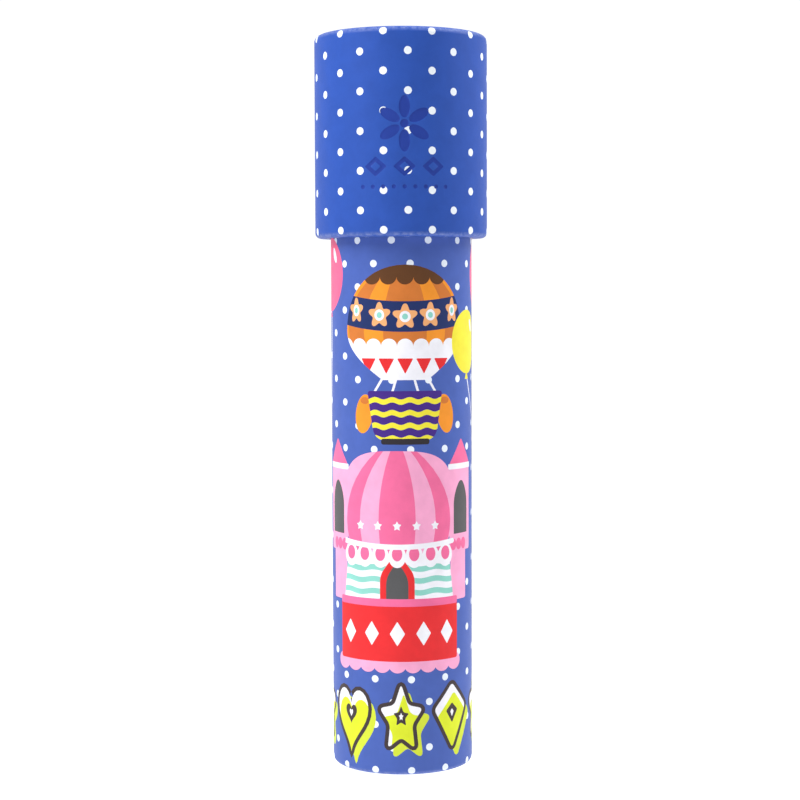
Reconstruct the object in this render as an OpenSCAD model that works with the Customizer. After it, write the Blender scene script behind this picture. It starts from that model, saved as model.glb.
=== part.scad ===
// Card kaleidoscope: a printed tube with a mirror prism inside, and a turning cap that
// holds a cell of loose beads. Millimetres. The origin is the centre of the eyepiece face,
// which the toy stands on; +Z runs along the tube to the viewing end, and the printed
// front faces -Y.

/* [Overall size] */
// Length from the eyepiece face to the rim of the cap
total_l = 212; // [190:1:250]
// Outside diameter of the printed tube
tube_d = 41; // [40:0.5:42]
// Outside diameter of the turning cap
cap_d = 50; // [49:0.5:51]
// Height of the turning cap
cap_h = 58.2; // [54:0.2:70]

/* [Card and paper] */
// Wall of the main tube
tube_wall = 1.8; // [1.5:0.1:2.2]
// Wall of the cap sleeve
cap_wall = 1.9; // [1.7:0.1:2]
// Thickness of the printed paper
paper_t = 0.25; // [0.22:0.01:0.3]
// Rounding at the eyepiece end of the tube
tube_edge_r = 1.4; // [0.6:0.1:1.6]
// Rounding at the cap's mouth
mouth_edge_r = 1.6; // [0.6:0.1:1.8]
// Rounding at the rim of the cap
rim_edge_r = 1.8; // [0.6:0.1:1.8]
// How far the tube's paper is turned in at the eyepiece end
flap_l = 5; // [3:0.5:8]

/* [Eyepiece] */
// Radius of the eye hole
eye_r = 5; // [3.5:0.5:6]
// Thickness of the eyepiece plate
plate_t = 3.4; // [3:0.2:4]
// Height of the eyepiece plug
plug_h = 9; // [8:0.5:12]
// Thickness of the clear window behind the eye hole
window_t = 1.2; // [0.8:0.1:1.5]

/* [Mirrors] */
// Width of each mirror strip
mirror_w = 27; // [22:0.5:27]
// Thickness of each mirror strip
mirror_t = 1.2; // [1:0.1:1.3]
// Thickness of the folded card around the mirrors
fold_t = 0.5; // [0.3:0.1:0.6]
// Thickness of the two centring rings
centring_h = 6; // [4:1:10]

/* [Bead cell] */
// Clear height inside the bead cell
cell_h = 10; // [8:0.5:12]
// Thickness of the frosted outer window
diffuser_t = 1.2; // [1:0.1:1.5]
// Height of the ring that holds the windows in
front_ring_h = 3.4; // [2.5:0.1:4]
// How far that ring is set back from the rim
recess = 3.4; // [2.5:0.1:4]
// Number of loose beads and sequins
bead_count = 42; // [7:1:42]

/* [Running fits] */
// Radial clearance of the bearing ring on the tube
bearing_gap = 0.08; // [0.04:0.01:0.1]
// Clearance of every other part that passes a turning one
turn_gap = 0.4; // [0.3:0.05:0.5]
// Length of the bearing ring from the cap's mouth to the retaining collar
bearing_l = 19.6; // [16:0.2:24]
// Height of the retaining collar
collar_h = 8; // [6:0.5:10]

/* [Hidden] */
$fn = 96;
eps = 0.01;
past = 1;

// radii, from the outside in
cap_r = cap_d / 2;
cap_in = cap_r - paper_t - cap_wall;
tube_r = tube_d / 2;
board_r = tube_r - paper_t;
board_in = board_r - tube_wall;
plug_r = board_in - paper_t;
boss_in = eye_r + 4.1;
boss_out = boss_in + 1.9;
window_r = boss_in - 0.1;
mirror_in = mirror_w / (2 * sqrt(3)) + 0.06;
mirror_out = mirror_in + mirror_t;
fold_gap = 0.1;

// heights of the tube's parts
plug_lift = 0.4;
board_z = plug_lift + paper_t;
window_z = plate_t;
retainer_z = window_z + window_t;
retainer_h = 1.6;
prism_z = plug_h + 1;

// heights of the cap's parts
cap_z = total_l - cap_h;
collar_z = cap_z + bearing_l + turn_gap;
seat_z = collar_z + collar_h + turn_gap;
front_ring_z = total_l - recess - front_ring_h;
diffuser_z = front_ring_z - diffuser_t;
cell_z = diffuser_z - cell_h;
inner_window_t = 1;
inner_window_z = cell_z - inner_window_t;
tube_top = inner_window_z - 1.5;
prism_top = tube_top - 0.5;
wrap_top = cap_z + 0.1;

// bead cell
cell_r = cap_in - 1.5;
bead_size = 4.4;
bead_float = 0.05;
golden_angle = 137.508;
bead_pitch = (cell_r - turn_gap - bead_size / 2) / sqrt(bead_count - 0.5);

// ---- shared shapes ----

// half section of a ring, with its outer edges rounded at the low and the high end
module ring_section(r_in, r_out, z_low, z_high, edge_low = 0, edge_high = 0) {
    difference() {
        translate([r_in, z_low]) square([r_out - r_in, z_high - z_low]);
        if (edge_low > 0) translate([r_out - edge_low, z_low + edge_low])
            rotate(-90) edge_waste(edge_low);
        if (edge_high > 0) translate([r_out - edge_high, z_high - edge_high])
            edge_waste(edge_high);
    }
}

// what a rounded corner leaves out of the quarter towards +X and +Y
module edge_waste(r) {
    difference() {
        square(r + past);
        circle(r);
    }
}

module ring(r_in, r_out, z_low, z_high) {
    rotate_extrude() ring_section(r_in, r_out, z_low, z_high);
}

module disc(r, z, t) {
    translate([0, 0, z]) cylinder(r = r, h = t);
}

// triangle with its corners cut off: flats at side from the axis, cuts at corner
module truncated_triangle(side, corner) {
    intersection() {
        rotate(-30) circle(r = 2 * side, $fn = 3);
        rotate(30) circle(r = 2 * corner, $fn = 3);
    }
}

// outline of the folded card, grown outward by extra
module fold_outline(extra) {
    corner_reach = mirror_w / 2 * cos(30) + mirror_out * sin(30);
    truncated_triangle(mirror_out + fold_gap + extra, corner_reach + fold_gap + extra);
}

// ---- tube ----

module main_tube() {
    color("tan") rotate_extrude()
        ring_section(board_in, board_r, board_z, tube_top, tube_edge_r - paper_t);
}

// printed paper, turned in around the eyepiece end and glued to the inside of the tube
module tube_wrap() {
    color("royalblue") rotate_extrude() difference() {
        ring_section(plug_r, tube_r, plug_lift, wrap_top, tube_edge_r);
        ring_section(board_in, board_r, board_z, wrap_top + past, tube_edge_r - paper_t);
        translate([plug_r - past, plug_lift + flap_l])
            square([past + paper_t + eps, wrap_top]);
    }
}

module eyepiece_plug() {
    dish_d = 1.4;
    dish_r = eye_r + 4.2;
    boss_top = retainer_z + retainer_h + 0.4;
    skirt_in = plug_r - 1.5;
    color("dimgray") rotate_extrude() difference() {
        union() {
            ring_section(eye_r, plug_r, 0, plate_t, 0.6);
            ring_section(boss_in, boss_out, plate_t - eps, boss_top, 0, 0.4);
            ring_section(skirt_in, plug_r, plate_t - eps, plug_h);
        }
        polygon([[eye_r - eps, -eps], [dish_r, -eps], [eye_r, dish_d], [eye_r - eps, dish_d]]);
    }
}

module eyepiece_window() {
    color("lightcyan") disc(window_r, window_z, window_t);
}

module window_retainer() {
    color("gray") ring(eye_r + 1.2, boss_in, retainer_z, retainer_z + retainer_h);
}

// one mirror strip, silvered face towards the axis; turn 0 is the base at the front
module mirror_strip(turn) {
    color("silver") rotate(turn)
        translate([-mirror_w / 2, -mirror_out, prism_z])
            cube([mirror_w, mirror_t, prism_top - prism_z]);
}

module mirror_base() {
    mirror_strip(0);
}

module mirror_right() {
    mirror_strip(120);
}

module mirror_left() {
    mirror_strip(240);
}

module mirror_sleeve() {
    color("white") translate([0, 0, prism_z])
        linear_extrude(prism_top - prism_z) difference() {
            fold_outline(fold_t);
            fold_outline(0);
        }
}

// foam-board ring that holds the prism on the tube's axis
module centring_ring(z) {
    color("gainsboro") translate([0, 0, z]) linear_extrude(centring_h) difference() {
        circle(board_in);
        fold_outline(fold_t);
    }
}

module lower_centring_ring() {
    centring_ring(prism_z);
}

module upper_centring_ring() {
    centring_ring(prism_top - centring_h);
}

module retaining_collar() {
    color("peru") ring(board_r, cap_in - turn_gap, collar_z, collar_z + collar_h);
}

// ---- cap ----

module cap_sleeve() {
    color("tan") rotate_extrude()
        ring_section(cap_in, cap_r - paper_t, cap_z + paper_t, total_l - paper_t,
            mouth_edge_r - paper_t, rim_edge_r - paper_t);
}

// printed paper, turned in under the mouth and over the rim down to the front ring
module cap_wrap() {
    flap_in = cap_in - paper_t;
    mouth_r = tube_r + turn_gap;
    color("royalblue") rotate_extrude() difference() {
        ring_section(mouth_r, cap_r, cap_z, total_l, mouth_edge_r, rim_edge_r);
        ring_section(cap_in, cap_r - paper_t, cap_z + paper_t, total_l - paper_t,
            mouth_edge_r - paper_t, rim_edge_r - paper_t);
        translate([mouth_r - past, cap_z + paper_t])
            square([past + cap_in - mouth_r + eps, total_l - recess - cap_z - paper_t]);
        translate([mouth_r - past, total_l - recess - eps])
            square([past + flap_in - mouth_r, recess + past]);
    }
}

// bearing ring: runs on the bare tube, with its mouth opened out past the printed paper
module cap_bearing_ring() {
    mouth_h = 1.6;
    color("peru") rotate_extrude() {
        ring_section(tube_r + turn_gap, cap_in, cap_z + paper_t, cap_z + mouth_h);
        ring_section(board_r + bearing_gap, cap_in, cap_z + mouth_h - eps, cap_z + bearing_l);
    }
}

module cell_seat_ring() {
    color("peru") ring(board_r + turn_gap, cap_in, seat_z, inner_window_z);
}

module cell_inner_window() {
    color("lightcyan") disc(cap_in, inner_window_z, inner_window_t);
}

module cell_ring() {
    color("whitesmoke") ring(cell_r, cap_in, cell_z, diffuser_z);
}

module cell_diffuser() {
    color("white") disc(cap_in, diffuser_z, diffuser_t);
}

module front_ring() {
    color("royalblue") ring(cap_in - 2.6, cap_in, front_ring_z, front_ring_z + front_ring_h);
}

// ---- loose beads ----

// puts a child at every seventh place of a sunflower spiral, lying on the inner window
module scatter(first) {
    for (i = [first : 7 : bead_count - 1])
        rotate(i * golden_angle)
            translate([bead_pitch * sqrt(i + 0.5), 0, cell_z + bead_float])
                rotate(i * 47) children();
}

module round_beads() {
    r = 1.9;
    color("crimson") scatter(0) translate([0, 0, r]) difference() {
        sphere(r);
        rotate([90, 0, 0]) cylinder(r = 0.5, h = 3 * r, center = true);
    }
}

// hexagonal cut stone: the same tapered outline seen from three sides
module gem_beads() {
    half_h = 1.5;
    outline = [
        [-bead_size / 2, 0], [-bead_size / 4, half_h], [bead_size / 4, half_h],
        [bead_size / 2, 0], [bead_size / 4, -half_h], [-bead_size / 4, -half_h]
    ];
    color("deepskyblue") scatter(1) translate([0, 0, half_h])
        intersection_for (turn = [0, 60, 120])
            rotate([90, 0, turn])
                linear_extrude(2 * bead_size, center = true) polygon(outline);
}

module tube_beads() {
    r = 0.9;
    color("gold") scatter(2) translate([0, 0, r]) rotate([0, 90, 0]) difference() {
        cylinder(r = r, h = bead_size - 0.4, center = true);
        cylinder(r = 0.4, h = bead_size, center = true);
    }
}

module ring_beads() {
    wire_r = 0.6;
    color("limegreen") scatter(3) translate([0, 0, wire_r])
        rotate_extrude() translate([bead_size / 2 - wire_r, 0]) circle(wire_r);
}

module star_sequins() {
    sequin_t = 0.5;
    star = [for (i = [0 : 9]) (i % 2 == 0 ? 2.1 : 1) * [cos(36 * i), sin(36 * i)]];
    color("hotpink") scatter(4) linear_extrude(sequin_t) polygon(star);
}

module flower_sequins() {
    sequin_t = 0.5;
    color("mediumpurple") scatter(5) linear_extrude(sequin_t) difference() {
        for (turn = [0 : 60 : 300]) rotate(turn) translate([1.3, 0]) circle(0.8);
        circle(0.4);
    }
}

module colour_chips() {
    chip_t = 0.9;
    color("orange") scatter(6) linear_extrude(chip_t) circle(r = 2.1, $fn = 3);
}

main_tube();
tube_wrap();
eyepiece_plug();
eyepiece_window();
window_retainer();
mirror_base();
mirror_left();
mirror_right();
mirror_sleeve();
lower_centring_ring();
upper_centring_ring();
retaining_collar();
cap_sleeve();
cap_wrap();
cap_bearing_ring();
cell_seat_ring();
cell_inner_window();
cell_ring();
cell_diffuser();
front_ring();
round_beads();
gem_beads();
tube_beads();
ring_beads();
star_sequins();
flower_sequins();
colour_chips();
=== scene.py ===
"""Looks of the card kaleidoscope: printed paper over board, with its eyepiece, mirrors and beads.

Lengths are in millimetres until a mesh is made. A print is drawn in developed coordinates:
u runs round the tube from the front towards +X, and h runs up the wall, where it equals z.
"""
import math

import bmesh
import bpy
import numpy as np
from mathutils import Matrix, Vector
from mathutils.geometry import delaunay_2d_cdt


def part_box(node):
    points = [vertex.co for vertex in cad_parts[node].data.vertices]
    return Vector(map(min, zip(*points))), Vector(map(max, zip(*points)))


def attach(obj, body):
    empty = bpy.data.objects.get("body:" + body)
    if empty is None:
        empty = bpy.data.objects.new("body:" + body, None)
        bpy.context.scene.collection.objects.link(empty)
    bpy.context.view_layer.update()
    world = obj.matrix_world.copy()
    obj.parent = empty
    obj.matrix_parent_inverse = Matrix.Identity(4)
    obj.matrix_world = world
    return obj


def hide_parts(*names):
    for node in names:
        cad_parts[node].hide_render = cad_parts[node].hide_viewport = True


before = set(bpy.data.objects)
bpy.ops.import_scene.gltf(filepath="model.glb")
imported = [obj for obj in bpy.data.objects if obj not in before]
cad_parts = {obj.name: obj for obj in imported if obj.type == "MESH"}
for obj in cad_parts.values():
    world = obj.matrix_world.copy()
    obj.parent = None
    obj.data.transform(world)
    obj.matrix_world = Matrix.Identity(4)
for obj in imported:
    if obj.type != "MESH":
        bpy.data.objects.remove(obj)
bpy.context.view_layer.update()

MM = 0.001
TAU = 2 * math.pi


# ---- sizes taken from the frame ----

def extent(node):
    """The node's outer radius, its lowest z and its highest."""
    low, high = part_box(node)
    return high.x / MM, low.z / MM, high.z / MM


TUBE_R, TUBE_LOW, TUBE_TOP = extent("tube_wrap")
CAP_R, CAP_LOW, CAP_TOP = extent("cap_wrap")
CAP_IN, _, RING_TOP = extent("front_ring")
PLUG_R, _, PLUG_TOP = extent("eyepiece_plug")
BOARD_R = extent("main_tube")[0]
BOARD_IN = extent("lower_centring_ring")[0]
MIRROR_HALF, PRISM_LOW, PRISM_TOP = extent("mirror_base")
MIRROR_OUT, MIRROR_IN = (-corner.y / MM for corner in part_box("mirror_base"))
CELL_FLOOR = extent("cell_inner_window")[2]

PAPER_T = TUBE_R - BOARD_R
TURN_GAP = 0.4
FLAP_L = 5.0
TUBE_EDGE_R = 1.4
MOUTH_EDGE_R = 1.6
RIM_EDGE_R = 1.8
FOLD_R = 0.12


# ---- small geometry helpers ----

def unit(v):
    """The vector, or each row of an array, made one long."""
    return v / np.maximum(np.linalg.norm(v, axis=-1, keepdims=True), 1e-12)


def smoothstep(t):
    t = np.clip(t, 0.0, 1.0)
    return t * t * (3 - 2 * t)


def turned(points, angle):
    c, s = math.cos(angle), math.sin(angle)
    return np.column_stack([c * points[:, 0] - s * points[:, 1],
                            s * points[:, 0] + c * points[:, 1]])


def spin(r, a, z):
    """Points at those radii and heights, at angles from the front towards +X."""
    return np.stack(np.broadcast_arrays(r * np.sin(a), -r * np.cos(a), z), axis=-1)


def ellipse(cu, ch, ru, rh, turn=0.0, n=28):
    """Closed loop of an ellipse; turn is in degrees, anticlockwise."""
    t = np.arange(n) * TAU / n
    loop = np.column_stack([ru * np.cos(t), rh * np.sin(t)])
    return turned(loop, math.radians(turn)) + (cu, ch)


def circle(r, n=144):
    return ellipse(0, 0, r, r, n=n)


def superellipse(cu, ch, ru, rh, power=3.0, n=72):
    """Closed loop between an ellipse and its box: the higher the power, the squarer."""
    loop = circle(1, n)
    return np.sign(loop) * np.abs(loop) ** (2 / power) * (ru, rh) + (cu, ch)


def soften(points, size, steps=6):
    """The same closed outline with each corner rounded off over that length, where it fits."""
    pts = np.array(points, float)
    sizes = np.broadcast_to(size, len(pts))
    t = np.linspace(0, 1, steps + 1)[:, None]
    out = []
    for i, corner in enumerate(pts):
        if sizes[i] == 0:
            out.append(corner)
            continue
        beside = [i - 1, (i + 1) % len(pts)]
        sides = pts[beside] - corner
        shared = np.linalg.norm(sides, axis=1) * sizes[i] / (sizes[i] + sizes[beside])
        a, b = corner + unit(sides) * min(sizes[i], *shared)
        out.extend((1 - t) ** 2 * a + 2 * t * (1 - t) * corner + t ** 2 * b)
    return np.array(out)


def curve(points, n=24):
    """A Bezier curve drawn by its control points, as n + 1 points."""
    pts = np.array(points, float)
    degree = len(pts) - 1
    t = np.linspace(0, 1, n + 1)[:, None]
    return sum(math.comb(degree, k) * (1 - t) ** (degree - k) * t ** k * pts[k]
               for k in range(degree + 1))


def stroke(line, width, round_end=True):
    """Closed loop of a brush stroke along a line."""
    along = unit(np.gradient(line, axis=0))
    side = np.column_stack([-along[:, 1], along[:, 0]])
    half = width / 2
    left, right = line + side * half, line - side * half
    end = []
    if round_end:
        turn = np.linspace(0, math.pi, 9)[1:-1]
        end = [line[-1] + half * (np.cos(a) * side[-1] + np.sin(a) * along[-1]) for a in turn]
    return np.array([*left, *end, *right[::-1]])


def counter_clockwise(loop):
    x, y = loop[:, 0], loop[:, 1]
    area = np.sum(x * np.roll(y, -1) - np.roll(x, -1) * y)
    return loop if area > 0 else loop[::-1]


def grow(loop, by):
    """The loop moved outwards by that much, with mitred corners held short."""
    loop = counter_clockwise(loop)
    ahead = unit(np.roll(loop, -1, axis=0) - loop)
    out = np.column_stack([ahead[:, 1], -ahead[:, 0]])
    both = out + np.roll(out, 1, axis=0)
    reach = np.minimum(2 / np.linalg.norm(both, axis=1)[:, None], 1.6)
    return loop + unit(both) * reach * by


def inside(points, loop):
    """Which of the points are inside the closed loop."""
    hit = np.zeros(len(points), bool)
    low, high = loop.min(0), loop.max(0)
    near = np.where(np.all((points >= low) & (points <= high), axis=1))[0]
    x, y = points[near, 0][:, None], points[near, 1][:, None]
    x0, y0 = loop[:, 0], loop[:, 1]
    x1, y1 = np.roll(x0, -1), np.roll(y0, -1)
    crosses = (y0 > y) != (y1 > y)
    with np.errstate(divide="ignore", invalid="ignore"):
        at = x0 + (y - y0) * (x1 - x0) / (y1 - y0)
    hit[near] = np.sum(crosses & (x < at), axis=1) % 2 == 1
    return hit


# ---- materials ----

def linear(*screen):
    """Linear colour from screen red, green and blue of 0 to 255."""
    c = np.array(screen) / 255
    return (*np.where(c <= 0.04045, c / 12.92, ((c + 0.055) / 1.055) ** 2.4), 1.0)


def shade(colour, by):
    return tuple(min(c * by, 1.0) for c in colour[:3]) + (1.0,)


class Nodes:
    """A material's node tree with short calls for what these materials share."""

    def __init__(self, name, **values):
        self.material = bpy.data.materials.new(name)
        self.material.use_nodes = True
        self.tree = self.material.node_tree
        self.shader = self.tree.nodes["Principled BSDF"]
        self.fill(self.shader, values)
        self.place = self.new("TexCoord").outputs["Object"]

    def feed(self, sockets, values):
        """Sets each socket to its number, or links it to the output that is given instead."""
        for socket, value in zip(sockets, values):
            if isinstance(value, bpy.types.NodeSocket):
                self.tree.links.new(value, socket)
            else:
                socket.default_value = value

    def fill(self, node, values):
        self.feed([node.inputs[name.replace("_", " ")] for name in values], values.values())

    def new(self, kind, operation=None, **values):
        node = self.tree.nodes.new("ShaderNode" + kind)
        if operation:
            node.operation = operation
        self.fill(node, values)
        return node

    def stretched(self, *scale):
        return self.new("Mapping", Vector=self.place, Scale=scale).outputs["Vector"]

    def noise(self, per_mm, detail=3.0, roughness=0.55, place=None):
        """Noise with about that many features in a millimetre."""
        return self.new("TexNoise", Vector=place or self.place, Scale=per_mm / MM, Detail=detail,
                        Roughness=roughness).outputs["Fac"]

    def away(self, place):
        """How far the place is from the origin."""
        return self.new("VectorMath", "LENGTH", Vector=place).outputs["Value"]

    def spread(self, value, low, high, from_low=0.3, from_high=0.7):
        return self.new("MapRange", Value=value, From_Min=from_low, From_Max=from_high,
                        To_Min=low, To_Max=high).outputs["Result"]

    def combine(self, operation, a, b):
        node = self.new("Math", operation)
        self.feed(node.inputs, (a, b))
        return node.outputs["Value"]

    def blend(self, factor, a, b):
        node = self.tree.nodes.new("ShaderNodeMix")
        node.data_type = "RGBA"
        colours = [socket for socket in node.inputs if socket.type == "RGBA"]
        self.feed([node.inputs["Factor"], *colours], (factor, a, b))
        return next(socket for socket in node.outputs if socket.type == "RGBA")

    def mottled(self, value, a, b):
        return self.blend(self.spread(value, 0, 1), a, b)

    def bump(self, height, depth_mm, strength=1.0, **under):
        return self.new("Bump", Strength=strength, Distance=depth_mm * MM, Height=height,
                        **under).outputs["Normal"]

    def finish(self, colour, roughness, normal):
        self.fill(self.shader, {"Base Color": colour, "Roughness": roughness, "Normal": normal})
        return self.material


def printed(name, colour, edges=()):
    """Ink under a satin film on paper: faint mottling, fine fibre and the board's slow waves.

    edges lists the z where a folded edge's wear starts, is worst and ends: the ink is paler there.
    """
    n = Nodes(name, Specular_IOR_Level=0.20)
    fibre = n.noise(2.6, 4)
    ink = n.mottled(n.noise(0.22, 3), shade(colour, 0.94), shade(colour, 1.05))
    if edges:
        z = n.new("SeparateXYZ", Vector=n.place).outputs["Z"]
        rub = n.spread(n.noise(0.8, 4, 0.7), 0.03, 0.30, 0.38, 0.75)
        for start, worst, end in edges:
            rise = n.spread(z, 0, 1, start * MM, worst * MM)
            fall = n.spread(z, 1, 0.15, worst * MM, end * MM)
            worn = n.combine("MULTIPLY", n.combine("MULTIPLY", rise, fall), rub)
            ink = n.blend(worn, ink, (0.62, 0.68, 0.86, 1))
    waves = n.bump(n.noise(0.07, 2), 0.10)
    return n.finish(ink, n.spread(fibre, 0.45, 0.56), n.bump(fibre, 0.006, Normal=waves))


def pulp(n, colour, along, pale):
    """The noise of greyboard's long fibres, and their colour."""
    fibre = n.noise(1.4, 5, 0.7, n.stretched(1, 1, along))
    return fibre, n.blend(n.spread(fibre, 0, 1, 0.35, 0.65), shade(colour, 0.78),
                          shade(colour, pale))


def board(name, colour):
    """Greyboard: long pale fibres and darker flecks, quite rough."""
    n = Nodes(name, Specular_IOR_Level=0.2)
    fibre, fibres = pulp(n, colour, 0.25, 1.2)
    flecks = n.blend(n.spread(n.noise(0.9, 2), 0, 1, 0.62, 0.72), fibres, shade(colour, 0.5))
    return n.finish(flecks, n.spread(fibre, 0.78, 0.95), n.bump(fibre, 0.05))


def rolled_board(name, colour):
    """Greyboard wound from thin plies, which show as rings on the cut ends."""
    ply_mm = 0.22
    n = Nodes(name, Specular_IOR_Level=0.2)
    plies = n.combine("PINGPONG", n.away(n.stretched(1, 1, 0)), ply_mm * MM)
    ply = n.spread(plies, 0, 1, 0, ply_mm * MM)
    fibre, fibres = pulp(n, colour, 0.3, 1.18)
    rings = n.blend(n.spread(ply, 0.45, 0, 0, 0.5), fibres, shade(colour, 0.55))
    return n.finish(rings, n.spread(fibre, 0.78, 0.95),
                    n.bump(ply, 0.02, 0.6, Normal=n.bump(fibre, 0.04)))


def foam_board():
    """Foam core between paper faces, with its open cells on the cut edges."""
    n = Nodes("foam_board", Specular_IOR_Level=0.2)
    cell = n.new("TexVoronoi", Vector=n.place, Scale=2.2 / MM).outputs["Distance"]
    pale = n.blend(n.spread(cell, 0, 1, 0.0, 0.6), linear(218, 216, 210), linear(246, 245, 241))
    return n.finish(pale, n.spread(cell, 0.9, 0.7, 0.0, 0.6), n.bump(cell, 0.06))


def folded_card():
    n = Nodes("folded_card", Specular_IOR_Level=0.25)
    fibre = n.noise(3.0, 4)
    pale = n.mottled(n.noise(0.3, 3), linear(228, 226, 220), linear(240, 238, 233))
    return n.finish(pale, n.spread(fibre, 0.65, 0.8), n.bump(fibre, 0.012))


def plastic(name, colour, rough, grain_per_mm=2.0, grain_mm=0.01):
    """Moulded plastic with a spark-eroded grain and slow flow marks."""
    n = Nodes(name)
    grain = n.noise(grain_per_mm, 2)
    flow = n.mottled(n.noise(0.12, 2), shade(colour, 0.9), shade(colour, 1.08))
    return n.finish(flow, n.spread(grain, rough * 0.85, rough * 1.2), n.bump(grain, grain_mm))


def clear_sheet(name, tint):
    """Clear plastic sheet with faint polishing scratches."""
    n = Nodes(name, Transmission_Weight=1.0, IOR=1.5, Specular_IOR_Level=0.5)
    scratch = n.noise(6.0, 1, place=n.stretched(1, 0.06, 1))
    return n.finish(n.mottled(n.noise(0.4, 3), shade(tint, 0.98), tint),
                    n.spread(scratch, 0.01, 0.05), n.bump(scratch, 0.0015))


def frosted():
    """Frosted sheet: the fine grain of its surface scatters what lies behind it."""
    n = Nodes("frosted_sheet", Transmission_Weight=0.93, IOR=1.45, Specular_IOR_Level=0.4)
    grain = n.noise(7.0, 2)
    return n.finish(n.mottled(n.noise(0.1, 2), (0.96, 0.97, 0.98, 1), (0.99, 0.99, 1.0, 1)),
                    n.spread(grain, 0.14, 0.22), n.bump(grain, 0.006))


def silvering():
    n = Nodes("mirror_silver", Metallic=1.0)
    scratch = n.noise(4.0, 1, place=n.stretched(1, 1, 0.05))
    return n.finish(n.mottled(n.noise(0.15, 3), (0.90, 0.91, 0.92, 1), (0.95, 0.95, 0.96, 1)),
                    n.spread(scratch, 0.02, 0.07, 0.45, 0.75), n.bump(scratch, 0.0008))


def bead_material(name, colours, rough=0.08, **values):
    """Each loose piece takes one of the colours, with a little cloudiness in it."""
    n = Nodes(name, **values)
    ramp = n.new("ValToRGB", Fac=n.new("NewGeometry").outputs["Random Per Island"])
    bands = ramp.color_ramp
    bands.interpolation = "CONSTANT"
    while len(bands.elements) < len(colours):
        bands.elements.new(0.5)
    for i, colour in enumerate(colours):
        bands.elements[i].position = i / len(colours)
        bands.elements[i].color = linear(*colour)
    cloud = n.noise(0.5, 3)
    colour = n.blend(n.spread(cloud, 0, 0.18), ramp.outputs["Color"], (1.0, 1.0, 1.0, 1.0))
    return n.finish(colour, n.spread(cloud, rough, rough + 0.1), n.bump(n.noise(1.2, 2), 0.01))


INKS = {ink: linear(*screen) for ink, screen in {
    "cap_blue": (41, 79, 168),
    "cap_dot": (236, 243, 252),
    "emblem": (33, 59, 148),
    "blue": (71, 96, 174),
    "dot": (232, 240, 252),
    "orange": (240, 148, 44),
    "deep_orange": (205, 118, 52),
    "brown": (92, 56, 28),
    "white": (240, 240, 248),
    "navy": (26, 44, 96),
    "peach": (240, 172, 116),
    "teal": (140, 208, 196),
    "black": (42, 38, 44),
    "red": (226, 44, 48),
    "purple": (66, 38, 130),
    "yellow": (238, 226, 62),
    "pink": (242, 166, 204),
    "deep_pink": (236, 108, 156),
    "grey": (84, 84, 86),
    "balloon": (252, 104, 144),
    "lime": (216, 228, 44),
    "shadow_lime": (206, 220, 60),
    "outline": (62, 52, 54),
}.items()}


# ---- artwork ----

class Shape:
    """One flat area of ink. Later shapes print over earlier ones."""

    def __init__(self, ink, loop, clip=None, holes=(), sunk=False):
        self.ink = ink
        self.loop = counter_clockwise(np.asarray(loop, float))
        self.clip = clip
        self.holes = list(holes)
        self.sunk = sunk

    def covers(self, points):
        hit = inside(points, self.loop)
        for hole in self.holes:
            hit &= ~inside(points, hole)
        if self.clip is not None:
            hit &= inside(points, self.clip)
        return hit


class Art(list):
    """Areas of ink in the order in which they print."""

    def add(self, *shape, **kinds):
        self.append(Shape(*shape, **kinds))


def box(cu, half, h_low, h_high, corner=0.8):
    return soften([(cu - half, h_low), (cu + half, h_low), (cu + half, h_high),
                   (cu - half, h_high)], corner)


def triangle(cu, half, base_h, tip_h, corner):
    return soften([(cu - half, base_h), (cu + half, base_h), (cu, tip_h)], corner)


def diamond(cu, ch, ru, rh, corner):
    return soften([(cu - ru, ch), (cu, ch - rh), (cu + ru, ch), (cu, ch + rh)], corner)


def arch(cu, half, foot, spring, crown, corner, crown_corner):
    """A pointed doorway with its shoulders and its crown rounded."""
    side = [(cu - half, foot), (cu - half, spring), (cu, crown), (cu + half, spring),
            (cu + half, foot)]
    return soften(side, [0, corner, crown_corner, corner, 0])


def scallops(ink, cu, ch, pitch, reach, ru, rh, **kinds):
    """A row of ellipses, with that many on each side of the middle one."""
    n = 16 if ru < 1 else 28
    return [Shape(ink, ellipse(cu + pitch * k, ch, ru, rh, n=n), **kinds)
            for k in range(-reach, reach + 1)]


def wavy_band(cu, ch, half_width, thick, height=0.35, wave=5.0):
    """A level stripe with softly waved edges."""
    u = np.linspace(cu - half_width, cu + half_width, 41)
    swing = height * np.sin((u - cu) * TAU / wave)
    top = np.column_stack([u, ch + thick / 2 + swing])
    low = np.column_stack([u, ch - thick / 2 + swing])
    return np.vstack([low, top[::-1]])


def heart(cu, ch, width, height):
    t = np.arange(40) * TAU / 40
    x = np.sin(t) ** 3
    y = (13 * np.cos(t) - 5 * np.cos(2 * t) - 2 * np.cos(3 * t) - np.cos(4 * t)) / 15
    return np.column_stack([cu + x * width / 2, ch + y * height / 2])


def star(cu, ch, width, height, waist=0.5):
    """A five-pointed star, a little rounded, fitted to a width and a height."""
    reach = [1, waist] * 5
    pts = [(cu + r * math.sin(i * TAU / 10) * width / 1.9,
            ch + r * math.cos(i * TAU / 10) * height / 1.85) for i, r in enumerate(reach)]
    return soften(pts, width / 9)


def kite(cu, ch, width, height):
    low, high, side = ch - height / 2, ch + height / 2, ch + height * 0.12
    return soften([(cu, high), (cu - width / 2, side), (cu, low), (cu + width / 2, side)],
                  width / 10)


def flower(cu, ch, width, height):
    """Five round petals run together."""
    t = np.arange(60) * TAU / 60
    r = 0.5 * (0.80 + 0.20 * np.cos(5 * t))
    return np.column_stack([cu + width * r * np.sin(t), ch + height * r * np.cos(t)])


def symmetrical(cu, half, rise):
    """Closed loop that has those half widths at those heights."""
    right = np.column_stack([cu + half, rise])
    left = np.column_stack([cu - half, rise])[::-1]
    return np.vstack([right[:-1], left])


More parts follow.
